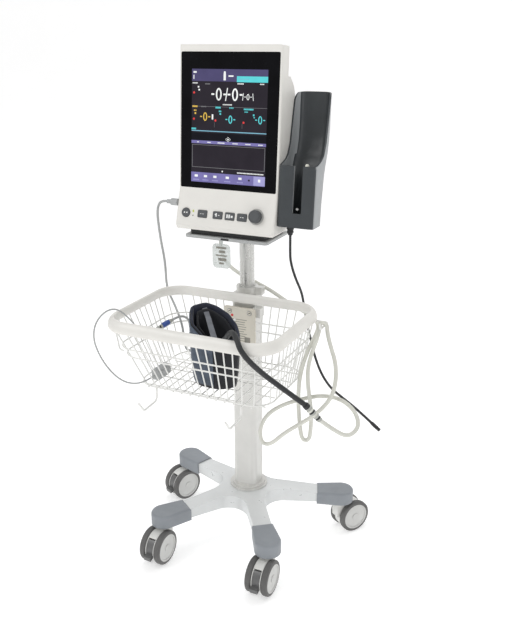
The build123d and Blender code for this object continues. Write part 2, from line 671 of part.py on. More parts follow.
def tube(name, points, diameter, tight=()):
    """A cord as straight runs joined by arcs as large as the runs allow."""
    ends = [Vector(*p) for p in points]
    radii = []
    for before, here, after in zip(ends, ends[1:], ends[2:]):
        turn = (here - before).get_angle(after - here)
        shorter = min((here - before).length, (after - here).length)
        radii.append(0.45 * shorter / math.tan(math.radians(turn) / 2))
    path = FilletPolyline(*points, radius=radii)
    body = sweep(Plane(origin=path @ 0, z_dir=path % 0) * Circle(diameter / 2), path=path)
    ideal = math.pi * diameter ** 2 / 4 * path.length
    print(f"{name}: length {path.length:.0f}, volume ratio {body.volume / ideal:.4f}, "
          f"smallest radius {min(radii) / diameter:.1f} dia, radii {[round(r) for r in radii]}")
    return body


def cuff():
    """The folded cuff, an upright oval roll with a sloping top."""
    roll = extrude(Pos(*CUFF_CENTRE, WIRE_FLOOR + 4) * Ellipse(CUFF_SIZE[0] / 2, CUFF_SIZE[1] / 2), 160)
    top = Plane(origin=(CUFF_CENTRE[0] - 20, CUFF_CENTRE[1], 602), z_dir=(0.45, -0.1, 1))
    cutter = extrude(top * Rectangle(400, 400), 200)
    return roll - cutter


def hose_connector():
    start, end = CUFF_HOSE[-1], AIR_HOSE[-1]
    middle = along(start, end, 0.68)
    return bar(start, middle, 6.5) + bar(middle, end, 5)


def trunk_plug():
    body = bar((-CASE_HALF_WIDTH, -92, 779), (-121, -92, 779), 7)
    return body + bar((-121, -92, 779), TRUNK_CABLE[0], 4.2)


def trunk_connector():
    return bar(*CONNECTOR_ENDS, CONNECTOR_RADIUS)


def finger_sensor():
    body = block((-111, -91), (-216, -168), (443, 465))
    return fillet(body.edges(), 5)


def probe_plug():
    return bar(PROBE_CORD[-1], PROBE_TIP, 3.6)


# ------------------------------------------------------------------ all nodes

def build_nodes():
    casting = base_casting()
    nodes = {"base_casting": casting,
             "leg_caps": group(leg_cap(azimuth, casting) for azimuth in LEG_AZIMUTHS.values()),
             "column": column(),
             "column_bolt": column_bolt(),
             "column_collar": column_collar(),
             "clamp_knob": clamp_knob(),
             "label_plate": label_plate(),
             "basket_bracket": basket_bracket(),
             "basket_rim": basket_rim(),
             "basket_walls": group(basket_wall(side) for side in ("front", "rear", "left", "right")),
             "basket_corners": group([basket_corner(x, y) for x in (-1, 1) for y in (-1, 1)] + basket_hooks()),
             "basket_floor": basket_floor(),
             "inner_post": inner_post(),
             "tray": tray(),
             "tray_latch": tray_latch(),
             "adapter_plate": adapter_plate(),
             "front_housing": front_housing(),
             "rear_housing": rear_housing(),
             "touch_glass": touch_glass(),
             "display_panel": display_panel(),
             "circuit_boards": circuit_boards(),
             "battery": battery(),
             "air_pump": air_pump(),
             "assembly_screws": assembly_screws(),
             "power_key": power_key(),
             "menu_knob": menu_knob(),
             "encoder_shaft": encoder_shaft(),
             "thermometer_cradle": thermometer_cradle(),
             "hang_tag": hang_tag(),
             "cuff": cuff(),
             "air_hose": tube("air_hose", AIR_HOSE, 8),
             "cuff_hose": tube("cuff_hose", CUFF_HOSE, 10),
             "hose_connector": hose_connector(),
             "trunk_plug": trunk_plug(),
             "trunk_cable": tube("trunk_cable", TRUNK_CABLE, 5),
             "trunk_connector": trunk_connector(),
             "sensor_cable": tube("sensor_cable", SENSOR_CABLE, 3),
             "finger_sensor": finger_sensor(),
             "probe_cord": tube("probe_cord", PROBE_CORD, 5),
             "probe_plug": probe_plug()}
    for number, x in enumerate(KEY_CENTRES, 1):
        nodes[f"soft_key_{number}"] = soft_key(x)
    for name in LEG_AZIMUTHS:
        place = caster_place(name)
        nodes[f"{name}_caster_housing"] = place * caster_housing()
        nodes[f"{name}_brake_pedal"] = place * brake_pedal()
        nodes[f"{name}_wheel_cores"] = place * wheel_cores()
        nodes[f"{name}_tyres"] = place * tyres()
    return nodes


CORD_NODES = ("air_hose", "cuff_hose", "hose_connector", "trunk_plug", "trunk_cable", "trunk_connector",
              "sensor_cable", "finger_sensor", "probe_cord", "probe_plug")


def middle_shift(nodes):
    """The sideways move that puts the middle of everything but the cords on the origin."""
    boxes = [shape.bounding_box() for name, shape in nodes.items() if name not in CORD_NODES]
    x = (min(b.min.X for b in boxes) + max(b.max.X for b in boxes)) / 2
    y = (min(b.min.Y for b in boxes) + max(b.max.Y for b in boxes)) / 2
    return Vector(-x, -y, 0)


NODES = build_nodes()
SHIFT = middle_shift(NODES)

if __name__ == "__main__":
    os.makedirs("parts", exist_ok=True)
    for node_name, node_shape in NODES.items():
        export_step(Pos(*SHIFT) * node_shape, f"parts/{node_name}.step")
    print(f"{len(NODES)} nodes, column axis at {SHIFT.X:.3f}, {SHIFT.Y:.3f}")
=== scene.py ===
"""The looks of a vital-signs monitor on a rolling stand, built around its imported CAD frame.

Sizes are in millimetres, in a frame whose Z axis is the column's axis; at() turns them into the row's metres.
"""
import math

import bmesh
import bpy
from mathutils import Matrix, Vector, noise


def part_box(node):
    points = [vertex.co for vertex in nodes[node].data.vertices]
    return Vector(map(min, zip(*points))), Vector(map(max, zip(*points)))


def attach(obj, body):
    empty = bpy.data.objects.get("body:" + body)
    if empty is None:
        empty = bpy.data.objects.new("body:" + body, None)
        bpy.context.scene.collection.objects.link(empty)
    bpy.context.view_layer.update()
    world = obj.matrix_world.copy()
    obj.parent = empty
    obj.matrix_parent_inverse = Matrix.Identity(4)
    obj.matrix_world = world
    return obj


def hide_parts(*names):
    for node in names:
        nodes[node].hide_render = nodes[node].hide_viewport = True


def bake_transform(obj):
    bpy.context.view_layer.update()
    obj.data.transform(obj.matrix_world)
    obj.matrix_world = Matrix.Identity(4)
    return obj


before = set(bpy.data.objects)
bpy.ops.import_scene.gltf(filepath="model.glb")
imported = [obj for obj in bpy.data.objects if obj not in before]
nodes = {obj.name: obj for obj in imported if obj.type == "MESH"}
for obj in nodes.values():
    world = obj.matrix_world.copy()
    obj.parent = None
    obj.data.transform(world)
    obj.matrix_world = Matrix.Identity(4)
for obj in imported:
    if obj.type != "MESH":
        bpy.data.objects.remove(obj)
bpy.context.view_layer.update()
MM = 0.001
AXIS = (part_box("inner_post")[0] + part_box("inner_post")[1]) / 2

# Places that the CAD model fixes.
GLASS_FOOT = (0, -86, 809)
SCREEN_LEAN = math.radians(4.6)
SCREEN_SIZE = (158.4, 211.2)
SCREEN_FOOT = 12.8
CHIN_FRONT = (-107, 738)
KEY_DROP = 49
KEY_FACE = 1.6
KEY_CENTRES = (-47.7, -14.2, 12, 38.1)
POWER_KEY_X = -84.5
MENU_KNOB_X = 68
CASTERS = ("rear_left", "front_left", "front_right", "rear_right")


def at(x, y, z):
    """A point beside the column, in the row frame's metres."""
    return Vector((AXIS.x + x * MM, AXIS.y + y * MM, z * MM))


# ------------------------------------------------------------------ materials

def new_material(name):
    material = bpy.data.materials.new(name)
    material.use_nodes = True
    tree = material.node_tree
    return material, tree, tree.nodes["Principled BSDF"]


def speckle(tree, size, detail=3.0):
    """Noise whose blobs are about `size` millimetres across, in object space."""
    place = tree.nodes.new("ShaderNodeTexCoord")
    texture = tree.nodes.new("ShaderNodeTexNoise")
    texture.inputs["Scale"].default_value = 1 / (size * MM)
    texture.inputs["Detail"].default_value = detail
    tree.links.new(place.outputs["Object"], texture.inputs["Vector"])
    return texture.outputs["Fac"]


def span(tree, value, low, high):
    node = tree.nodes.new("ShaderNodeMapRange")
    node.inputs["From Min"].default_value = 0.3
    node.inputs["From Max"].default_value = 0.7
    node.inputs["To Min"].default_value = low
    node.inputs["To Max"].default_value = high
    tree.links.new(value, node.inputs["Value"])
    return node.outputs["Result"]


def blend_colours(tree, share, first, second):
    node = tree.nodes.new("ShaderNodeMix")
    node.data_type = "RGBA"
    tree.links.new(share, node.inputs["Factor"])
    for socket, value in ((node.inputs["A"], first), (node.inputs["B"], second)):
        if isinstance(value, tuple):
            socket.default_value = (*value, 1)
        else:
            tree.links.new(value, socket)
    return node.outputs["Result"]


def shade(colour, factor):
    return tuple(min(1.0, channel * factor) for channel in colour)


def bumped(tree, shader, height, strength, distance, rounding=0.0):
    bump = tree.nodes.new("ShaderNodeBump")
    bump.inputs["Strength"].default_value = strength
    bump.inputs["Distance"].default_value = distance * MM
    tree.links.new(height, bump.inputs["Height"])
    if rounding:
        bevel = tree.nodes.new("ShaderNodeBevel")
        bevel.samples = 4
        bevel.inputs["Radius"].default_value = rounding * MM
        tree.links.new(bevel.outputs["Normal"], bump.inputs["Normal"])
    tree.links.new(bump.outputs["Normal"], shader.inputs["Normal"])


def surface(name, colour, rough, metallic=0.0, mottle=0.05, mottle_size=40, grain=0.15, grain_size=0.8,
            rounding=0.0, coat=0.0):
    """A moulded, cast or painted surface: slow colour changes, uneven gloss and a fine grain."""
    material, tree, shader = new_material(name)
    patches = span(tree, speckle(tree, mottle_size), 0, 1)
    tint = blend_colours(tree, patches, shade(colour, 1 - mottle), shade(colour, 1 + mottle))
    tree.links.new(tint, shader.inputs["Base Color"])
    smears = span(tree, speckle(tree, mottle_size / 3), max(0.02, rough - 0.07), rough + 0.07)
    tree.links.new(smears, shader.inputs["Roughness"])
    shader.inputs["Metallic"].default_value = metallic
    shader.inputs["Coat Weight"].default_value = coat
    bumped(tree, shader, speckle(tree, grain_size), grain, 0.25, rounding)
    return material


def lit(name, colour, strength):
    """A lit patch of the screen, with the faint unevenness of its backlight."""
    material, tree, shader = new_material(name)
    patches = span(tree, speckle(tree, 30), 0, 1)
    tint = blend_colours(tree, patches, shade(colour, 0.9), shade(colour, 1.05))
    tree.links.new(tint, shader.inputs["Emission Color"])
    patched = blend_colours(tree, patches, shade(colour, 0.1), shade(colour, 0.16))
    tree.links.new(patched, shader.inputs["Base Color"])
    shader.inputs["Emission Strength"].default_value = strength
    shader.inputs["Roughness"].default_value = 0.12
    shader.inputs["Specular IOR Level"].default_value = 0.08
    return material


def woven(name, colour, pitch=0.9):
    """Tight nylon cloth: two crossing sets of threads and a soft sheen."""
    material, tree, shader = new_material(name)
    place = tree.nodes.new("ShaderNodeTexCoord")
    heights = []
    for direction in ("X", "Z"):
        wave = tree.nodes.new("ShaderNodeTexWave")
        wave.bands_direction = direction
        wave.inputs["Scale"].default_value = 0.314 / (pitch * MM)
        wave.inputs["Distortion"].default_value = 0.6
        tree.links.new(place.outputs["Object"], wave.inputs["Vector"])
        heights.append(wave.outputs["Fac"])
    threads = tree.nodes.new("ShaderNodeMath")
    threads.operation = "ADD"
    tree.links.new(heights[0], threads.inputs[0])
    tree.links.new(heights[1], threads.inputs[1])
    patches = span(tree, speckle(tree, 14), 0, 1)
    tint = blend_colours(tree, patches, shade(colour, 0.75), shade(colour, 1.25))
    tree.links.new(tint, shader.inputs["Base Color"])
    shader.inputs["Roughness"].default_value = 0.72
    shader.inputs["Sheen Weight"].default_value = 0.25
    bumped(tree, shader, threads.outputs[0], 0.35, 0.2)
    return material


def painted_side_light(name, colour, painted_light_colour, rough, rounding):
    """A moulding whose faces towards +X, its outer side, are lighter: painted light for the light falling on
    that side.
    """
    material = surface(name, colour, rough, rounding=rounding, grain=0.2, mottle=0.08)
    tree = material.node_tree
    shader = tree.nodes["Principled BSDF"]
    own = shader.inputs["Base Color"].links[0].from_socket
    # Faces turned towards +X take the lighter colour: painted light on the side that catches the lamps.
    facing = tree.nodes.new("ShaderNodeNewGeometry")
    parts = tree.nodes.new("ShaderNodeSeparateXYZ")
    tree.links.new(facing.outputs["True Normal"], parts.inputs["Vector"])
    side = tree.nodes.new("ShaderNodeMath")
    side.operation = "GREATER_THAN"
    side.inputs[1].default_value = 0.8
    tree.links.new(parts.outputs["X"], side.inputs[0])
    tree.links.new(blend_colours(tree, side.outputs[0], own, painted_light_colour), shader.inputs["Base Color"])
    return material


def clear_film(name, colour, opacity, rough):
    material = surface(name, colour, rough, mottle=0.04, grain=0.05)
    material.node_tree.nodes["Principled BSDF"].inputs["Alpha"].default_value = opacity
    return material


CASE = surface("case_white", (0.78, 0.765, 0.725), 0.42, grain=0.12, grain_size=0.6, rounding=1.2,
               mottle=0.02)
GLASS = surface("bezel_black", (0.003, 0.003, 0.004), 0.1, mottle=0.3, grain=0.01)
GLASS.node_tree.nodes["Principled BSDF"].inputs["Specular IOR Level"].default_value = 0.12
ALUMINIUM = surface("silver_paint", (0.72, 0.735, 0.735), 0.34, 0.25, mottle=0.03, grain=0.1)
COLUMN = surface("column_silver", (0.69, 0.685, 0.66), 0.36, 0.35, mottle=0.03, grain=0.05, rounding=0.8)
POST = surface("post_bright", (0.64, 0.64, 0.62), 0.3, 0.7, mottle=0.02, grain=0.01)
CAP = surface("cap_grey", (0.27, 0.29, 0.315), 0.5, mottle=0.06, grain=0.25, rounding=1.5)
WIRE = surface("wire_white", (0.80, 0.80, 0.775), 0.3, mottle=0.04, grain=0.08, coat=0.2)
RIM = surface("rim_cream", (0.80, 0.785, 0.745), 0.38, mottle=0.025, grain=0.06)
LABEL = surface("label_beige", (0.70, 0.665, 0.58), 0.45, mottle=0.05, grain=0.05, rounding=0.6)
INK = surface("ink_grey", (0.25, 0.24, 0.21), 0.6, mottle=0.2, grain=0.1)
RED_INK = surface("ink_red", (0.65, 0.04, 0.04), 0.5, mottle=0.1, grain=0.1)
WHITE_INK = surface("ink_white", (0.82, 0.83, 0.82), 0.5, mottle=0.05, grain=0.1)
ZINC = surface("zinc_steel", (0.45, 0.45, 0.44), 0.35, 0.9, mottle=0.15, grain=0.2)
TRAY = surface("tray_grey", (0.42, 0.43, 0.43), 0.38, 0.3, mottle=0.04, grain=0.12, rounding=0.8)
BLACK = surface("black_plastic_and_slot_shade", (0.012, 0.012, 0.013), 0.5, mottle=0.3, grain=0.3, rounding=0.6)
KEYS = surface("key_grey", (0.075, 0.08, 0.085), 0.48, mottle=0.1, grain=0.3, rounding=0.6)
KNOB_RING = surface("knob_ring", (0.45, 0.45, 0.43), 0.35, mottle=0.05, grain=0.1)
# The cradle's lighter second colour is painted light on its faces towards +X.
CRADLE = painted_side_light("cradle_grey", (0.042, 0.048, 0.053), (0.34, 0.355, 0.365), 0.36, 2.2)
PEG = surface("peg_white", (0.80, 0.79, 0.70), 0.4, mottle=0.06, grain=0.1)
CASTER = surface("caster_white", (0.76, 0.76, 0.735), 0.4, mottle=0.04, grain=0.12, rounding=1.2)
CORE = surface("core_grey", (0.60, 0.60, 0.585), 0.42, mottle=0.05, grain=0.12, rounding=0.8)
TYRE = surface("tyre_grey", (0.12, 0.118, 0.116), 0.6, mottle=0.15, grain=0.35, grain_size=0.5)
PEDAL = surface("pedal_grey", (0.13, 0.13, 0.13), 0.34, mottle=0.1, grain=0.2, rounding=0.8)
AIR_HOSE = surface("hose_beige", (0.68, 0.68, 0.62), 0.42, mottle=0.05, grain=0.08)
CABLE = surface("cable_grey", (0.40, 0.41, 0.41), 0.4, mottle=0.06, grain=0.08)
RUBBER = surface("rubber_black", (0.018, 0.019, 0.021), 0.5, mottle=0.2, grain=0.15)
CLEAR_GREY = surface("connector_grey", (0.42, 0.43, 0.40), 0.22, mottle=0.15, grain=0.1, coat=0.4)
BLUE = surface("connector_blue", (0.04, 0.09, 0.34), 0.35, mottle=0.12, grain=0.1)
NAVY = woven("cuff_navy", (0.012, 0.016, 0.036))
SLATE = woven("cuff_slate", (0.062, 0.083, 0.118))
LINING = woven("cuff_lining", (0.003, 0.004, 0.008))
STRAP = woven("cuff_strap", (0.16, 0.17, 0.19), 0.7)
TAG = clear_film("tag_film", (0.70, 0.74, 0.72), 0.55, 0.2)
BOARD = surface("board_green", (0.02, 0.14, 0.05), 0.4, mottle=0.2, grain=0.3)
BATTERY = surface("battery_blue", (0.03, 0.08, 0.25), 0.3, mottle=0.1, grain=0.05)

SCREEN_BODY = lit("screen_body", (0.028, 0.024, 0.032), 0.9)
SCREEN_DARK = lit("screen_dark", (0.010, 0.010, 0.014), 0.9)
SCREEN_PURPLE = lit("screen_purple", (0.085, 0.075, 0.17), 0.95)
SCREEN_VIOLET = lit("screen_violet", (0.20, 0.18, 0.42), 0.95)
SCREEN_LILAC = lit("screen_lilac", (0.38, 0.37, 0.66), 0.95)
SCREEN_CYAN = lit("screen_cyan", (0.12, 0.66, 0.70), 0.95)
SCREEN_WHITE = lit("screen_white", (0.85, 0.87, 0.86), 1.0)
SCREEN_GREY = lit("screen_grey", (0.20, 0.20, 0.21), 0.9)
SCREEN_YELLOW = lit("screen_yellow", (0.75, 0.50, 0.09), 1.0)
SCREEN_RED = lit("screen_red", (0.75, 0.06, 0.06), 1.0)
SCREEN_BLUE = lit("screen_blue", (0.22, 0.47, 0.60), 0.95)
LAMP = lit("lamp_green", (0.55, 0.62, 0.12), 0.8)

NODE_MATERIALS = {
    "base_casting": ALUMINIUM, "leg_caps": CAP, "column": COLUMN, "column_bolt": ZINC,
    "column_collar": COLUMN,
    "clamp_knob": BLACK, "label_plate": LABEL, "basket_bracket": COLUMN, "basket_rim": RIM,
    "basket_walls": WIRE,
    "basket_corners": WIRE, "basket_floor": WIRE, "inner_post": POST, "tray": TRAY, "tray_latch": BLACK,
    "adapter_plate": BLACK, "front_housing": CASE, "rear_housing": CASE, "touch_glass": GLASS,
    "display_panel": BLACK, "circuit_boards": BOARD, "battery": BATTERY, "air_pump": BLACK,
    "assembly_screws": ZINC, "power_key": KEYS, "soft_key_1": KEYS, "soft_key_2": KEYS, "soft_key_3": KEYS,
    "soft_key_4": KEYS, "menu_knob": KEYS, "encoder_shaft": ZINC, "thermometer_cradle": CRADLE,
    "hang_tag": TAG,
    "trunk_plug": CABLE, "finger_sensor": CABLE, "hose_connector": CLEAR_GREY, "trunk_connector": BLUE,
    "probe_plug": BLACK, "cuff": NAVY, "air_hose": AIR_HOSE, "cuff_hose": RUBBER, "trunk_cable": CABLE,
    "sensor_cable": CABLE, "probe_cord": RUBBER}
for caster in CASTERS:
    NODE_MATERIALS[caster + "_caster_housing"] = CASTER
    NODE_MATERIALS[caster + "_brake_pedal"] = PEDAL
    NODE_MATERIALS[caster + "_wheel_cores"] = CORE
    NODE_MATERIALS[caster + "_tyres"] = TYRE

for node_name, node_material in NODE_MATERIALS.items():
    slots = nodes[node_name].data.materials
    slots.clear()
    slots.append(node_material)


# ------------------------------------------------------------------ mesh helpers

def finish_mesh(name, mesh_builder, materials, body, smooth=False):
    """Turns a bmesh into a piece that rides on a body."""
    mesh = bpy.data.meshes.new(name)
    bmesh.ops.recalc_face_normals(mesh_builder, faces=mesh_builder.faces)
    mesh_builder.to_mesh(mesh)
    mesh_builder.free()
    for face in mesh.polygons:
        face.use_smooth = smooth
    for material in materials:
        mesh.materials.append(material)
    piece = bpy.data.objects.new(name, mesh)
    bpy.context.scene.collection.objects.link(piece)
    if body:
        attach(piece, body)
    return piece


def frame_at(origin, across, up):
    """A matrix for a flat face: X across it, Y up it and Z out of it, in metres."""
    across, up = Vector(across).normalized(), Vector(up).normalized()
    out = across.cross(up)
    matrix = Matrix((across, up, out)).transposed().to_4x4()
    matrix.translation = origin
    return matrix


SCREEN_UP = (0, math.sin(SCREEN_LEAN), math.cos(SCREEN_LEAN))
SCREEN = frame_at(at(*GLASS_FOOT), (1, 0, 0), SCREEN_UP)
CHIN_UP = Vector((0, GLASS_FOOT[1] - CHIN_FRONT[0], GLASS_FOOT[2] - CHIN_FRONT[1])).normalized()
CHIN = frame_at(at(*GLASS_FOOT) - CHIN_UP * KEY_DROP * MM, (1, 0, 0), CHIN_UP)


def tile(builder, matrix, centre, size, low, high, material=0, turn=0.0):
    """A thin box on a flat face; centre, size and heights are in millimetres."""
    scale = Matrix.Diagonal((size[0] * MM, size[1] * MM, (high - low) * MM, 1))
    place = Matrix.Translation((centre[0] * MM, centre[1] * MM, (low + high) / 2 * MM))
    stretched = matrix @ place @ Matrix.Rotation(turn, 4, "Z") @ scale
    made = bmesh.ops.create_cube(builder, size=1, matrix=stretched)
    for face in {f for v in made["verts"] for f in v.link_faces}:
        face.material_index = material


def round_tile(builder, matrix, centre, radii, low, high, material=0, segments=24):
    """A thin round or oval plate on a flat face."""
    scale = Matrix.Diagonal((radii[0] * MM, radii[1] * MM, (high - low) * MM, 1))
    place = Matrix.Translation((centre[0] * MM, centre[1] * MM, (low + high) / 2 * MM))
    made = bmesh.ops.create_cone(builder, cap_ends=True, segments=segments, radius1=1, radius2=1, depth=1,
                                 matrix=matrix @ place @ scale)
    for face in {f for v in made["verts"] for f in v.link_faces}:
        face.material_index = material


def ring_tile(builder, matrix, centre, radii, line, low, high, material=0, segments=20):
    """A thin oval ring on a flat face, drawn with a line of the given width."""
    rows = []
    for height in (low, high):
        for shrink in (0, line):
            row = []
            for step in range(segments):
                turn = 2 * math.pi * step / segments
                x = centre[0] + (radii[0] - shrink) * math.cos(turn)
                y = centre[1] + (radii[1] - shrink) * math.sin(turn)
                row.append(builder.verts.new(matrix @ Vector((x * MM, y * MM, height * MM))))
            rows.append(row)
    for first, second in ((0, 1), (1, 3), (3, 2), (2, 0)):
        for step in range(segments):
            after = (step + 1) % segments
            corners = (rows[first][step], rows[first][after], rows[second][after], rows[second][step])
            builder.faces.new(corners).material_index = material


def turned(name, start, end, profile, materials, body, slot_name, segments=28, oval=1.0):
    """A turned piece along a line: profile rows are (share of the length, radius, material)."""
    builder = bmesh.new()
    start, end = at(*start), at(*end)
    axis = (end - start).normalized()
    side = axis.cross(Vector((1, 0, 0) if abs(axis.z) > 0.9 else (0, 0, 1))).normalized()
    other = axis.cross(side)
    rows = []
    for share, radius, _ in profile:
        centre = start.lerp(end, share)
        row = []
        for step in range(segments):
            turn = 2 * math.pi * step / segments
            reach = side * math.cos(turn) * oval + other * math.sin(turn)
            row.append(builder.verts.new(centre + reach * radius * MM))
        rows.append(row)
    for (low, high), (_, _, material) in zip(zip(rows, rows[1:]), profile):
        for step in range(segments):
            after = (step + 1) % segments
            builder.faces.new((low[step], low[after], high[after], high[step])).material_index = material
    builder.faces.new(rows[0])
    builder.faces.new(rows[-1])
    return finish_mesh(name, builder, materials, body)


# ------------------------------------------------------------------ screen, keys and case details

def screen_point(share_x, share_down):
    """A place on the screen from shares of its width and height, from its top left corner."""
    return ((share_x - 0.5) * SCREEN_SIZE[0], SCREEN_FOOT + (1 - share_down) * SCREEN_SIZE[1])


def build_screen():
    materials = [SCREEN_BODY, SCREEN_DARK, SCREEN_PURPLE, SCREEN_LILAC, SCREEN_CYAN, SCREEN_WHITE,
                 SCREEN_GREY,
                 SCREEN_YELLOW, SCREEN_RED, SCREEN_BLUE, SCREEN_VIOLET]
    body, dark, purple, lilac, cyan, white, grey, yellow, red, blue, violet = range(len(materials))
    builder = bmesh.new()

    def field(left, top, right, bottom, colour, layer=1):
        x, y = screen_point((left + right) / 2, (top + bottom) / 2)
        size = ((right - left) * SCREEN_SIZE[0], (bottom - top) * SCREEN_SIZE[1])
        tile(builder, SCREEN, (x, y), size, 0.02, 0.04 + 0.03 * layer, colour)

    def dot(across, down, colour, radius=1.5):
        round_tile(builder, SCREEN, screen_point(across, down), (radius, radius), 0.02, 0.16, colour, 12)

    def dashes(across, down, count, colour, pitch=0.014, size=(0.010, 0.010)):
        """A row of generic marks where a word would stand."""
        for index in range(count):
            left = across + index * pitch
            field(left, down - size[1] / 2, left + size[0], down + size[1] / 2, colour, 3)

    def reading(across, down, height, colour, tail=True):
        """A generic empty reading: dash, zero, dash."""
        x, y = screen_point(across, down)
        ring_tile(builder, SCREEN, (x, y), (height * 0.27, height * 0.5), height * 0.13, 0.02, 0.17, colour)
        for side in (-1, 1) if tail else (-1,):
            tile(builder, SCREEN, (x + side * height * 0.55, y), (height * 0.26, height * 0.13),
                 0.02, 0.17, colour)

    field(0, 0, 1, 1, body, 0)
    field(0, 0, 1, 0.105, purple)
    field(0, 0.555, 1, 0.625, dark)
    field(0.6, 0.058, 1, 0.108, cyan, 2)
    dashes(0.62, 0.083, 8, blue, 0.018, (0.012, 0.008))
    dashes(0.02, 0.028, 2, white, 0.022, (0.02, 0.016))
    dashes(0.02, 0.07, 1, white, 0.02, (0.012, 0.035))
    field(0.425, 0.035, 0.455, 0.095, white, 3)
    dot(0.44, 0.028, white, 2.2)
    field(0.49, 0.052, 0.555, 0.064, white, 3)
    dashes(0.01, 0.122, 5, white)
    dashes(0.18, 0.128, 5, grey)
    dashes(0.61, 0.122, 6, white)
    dashes(0.90, 0.122, 4, white)
    dashes(0.08, 0.155, 1, white, 0.02, (0.02, 0.014))
    dashes(0.09, 0.18, 1, white, 0.02, (0.02, 0.014))
    for across, down in ((0.03, 0.205), (0.03, 0.435), (0.325, 0.443), (0.70, 0.452)):
        dot(across, down, red, 2.1)
    reading(0.365, 0.215, 23, white)
    x, y = screen_point(0.468, 0.215)
    tile(builder, SCREEN, (x, y), (1.9, 24), 0.02, 0.17, white, -0.16)
    reading(0.58, 0.215, 23, white)
    for side, across in ((1, 0.685), (-1, 0.815)):
        x, y = screen_point(across, 0.232)
        tile(builder, SCREEN, (x, y), (1.2, 13), 0.02, 0.17, white, side * -0.12)
    reading(0.75, 0.232, 11, white)
    dashes(0.42, 0.303, 9, white)
    field(0, 0.322, 1, 0.325, grey, 2)
    dashes(0.01, 0.325, 5, yellow, 0.014, (0.011, 0.014))
    dashes(0.03, 0.36, 2, yellow, 0.02, (0.013, 0.012))
    dashes(0.04, 0.385, 1, yellow, 0.02, (0.02, 0.016))
    dashes(0.13, 0.325, 5, grey)
    reading(0.185, 0.413, 16, yellow)
    field(0.275, 0.39, 0.295, 0.435, white, 3)
    dashes(0.325, 0.33, 5, cyan, 0.014, (0.011, 0.016))
    dashes(0.37, 0.362, 2, cyan, 0.018, (0.013, 0.014))
    dashes(0.38, 0.385, 1, cyan, 0.018, (0.02, 0.014))
    dashes(0.51, 0.33, 3, cyan, 0.02, (0.012, 0.012))
    reading(0.525, 0.43, 15, cyan)
    dashes(0.70, 0.337, 8, cyan, 0.016, (0.012, 0.014))
    dashes(0.71, 0.36, 3, cyan, 0.016, (0.012, 0.009))
    dashes(0.82, 0.385, 1, cyan, 0.018, (0.02, 0.016))
    dashes(0.83, 0.405, 1, cyan, 0.018, (0.015, 0.010))
    reading(0.915, 0.425, 15, cyan)
    for across in (0.31, 0.68):
        field(across, 0.46, across + 0.003, 0.505, grey, 2)
    dashes(0.0, 0.522, 4, cyan, 0.016, (0.013, 0.016))
    field(0.0, 0.535, 1, 0.543, blue, 2)
    ring_tile(builder, SCREEN, screen_point(0.50, 0.605), (5.5, 4.5), 0.8, 0.02, 0.17, white, 4)
    dashes(0.49, 0.605, 1, white, 0.02, (0.02, 0.012))
    field(0, 0.625, 1, 0.652, violet)
    for across, count in ((0.08, 2), (0.22, 4), (0.36, 8), (0.56, 6), (0.73, 6), (0.90, 5)):
        dashes(across, 0.639, count, white, 0.012, (0.009, 0.009))
    field(0.01, 0.662, 0.99, 0.867, grey)
    field(0.016, 0.666, 0.984, 0.863, body, 2)
    dot(0.43, 0.892, white, 1.5)
    dashes(0.63, 0.895, 19, white, 0.0185, (0.0145, 0.010))
    field(0, 0.912, 1, 1, violet)
    field(0.85, 0.916, 1, 0.996, lilac, 2)
    for across in (0.07, 0.20, 0.33, 0.50, 0.67):
        field(across - 0.022, 0.935, across + 0.022, 0.955, white, 3)
        dashes(across - 0.04, 0.98, 6, lilac, 0.014, (0.010, 0.009))
    dot(0.79, 0.955, body, 2.0)
    field(0.91, 0.94, 0.94, 0.965, white, 3)
    return finish_mesh("screen_picture", builder, materials, "head")


def build_key_marks():
    """White marks on the keys, each riding on its own key."""
    low, high = KEY_FACE, KEY_FACE + 0.12

    def marks(name, body, tiles):
        builder = bmesh.new()
        for centre, size in tiles:
            tile(builder, CHIN, centre, size, low, high)
        finish_mesh(name, builder, [WHITE_INK], body)

    first, second, third, fourth = KEY_CENTRES
    marks("key_marks_1", "soft_key_1", [((first - 3, 0), (3, 0.8)), ((first + 2, 0), (3.5, 0.8))])
    marks("key_marks_2", "soft_key_2", [((second - 2.5, 0.5), (2.2, 7)), ((second - 4.5, 1), (2, 3)),
                                        ((second + 3, 0), (3.2, 1.2))])
    marks("key_marks_3", "soft_key_3", [((third - 5, 0), (3.2, 7)), ((third - 0.5, 0), (3.2, 7)),
                                        ((third + 5, -0.5), (4, 4))])
    marks("key_marks_4", "soft_key_4", [((fourth - 2, 0), (3, 1.2)), ((fourth + 2.5, 0), (3.6, 1.2))])
    marks("power_marks", "power_key", [((POWER_KEY_X - 2.8, 0), (2.6, 2.6)),
                                       ((POWER_KEY_X + 2.6, 0), (3, 2.2))])


def build_case_details():
    """The knob's ring, the lamp, and the plate that closes the front housing's back."""
    builder = bmesh.new()
    tile(builder, SCREEN, (0, 238.5), (211, 57), -30, -27)
    finish_mesh("upper_back", builder, [CASE], "head")
    builder = bmesh.new()
    round_tile(builder, CHIN, (MENU_KNOB_X, 4), (15.4, 15.4), 0.02, 0.6, 0, 48)
    ring = finish_mesh("knob_ring", builder, [KNOB_RING], "head")
    bevel_edges(ring, 0.3)
    builder = bmesh.new()
    round_tile(builder, CHIN, (-68.5, 4), (1.5, 2.6), 0.02, 0.5, 0, 20)
    round_tile(builder, CHIN, (-68.5, -4.5), (1.1, 1.1), 0.02, 0.3, 1, 16)
    finish_mesh("status_lamp", builder, [LAMP, BLACK], "head")


def bevel_edges(piece, width, segments=2):
    """Rounds a piece's sharp edges in the mesh itself."""
    builder = bmesh.new()
    builder.from_mesh(piece.data)
    sharp = [edge for edge in builder.edges if len(edge.link_faces) == 2 and edge.calc_face_angle() > 0.6]
    bmesh.ops.bevel(builder, geom=sharp, offset=width * MM, segments=segments, affect="EDGES",
                    clamp_overlap=True)
    builder.to_mesh(piece.data)
    builder.free()


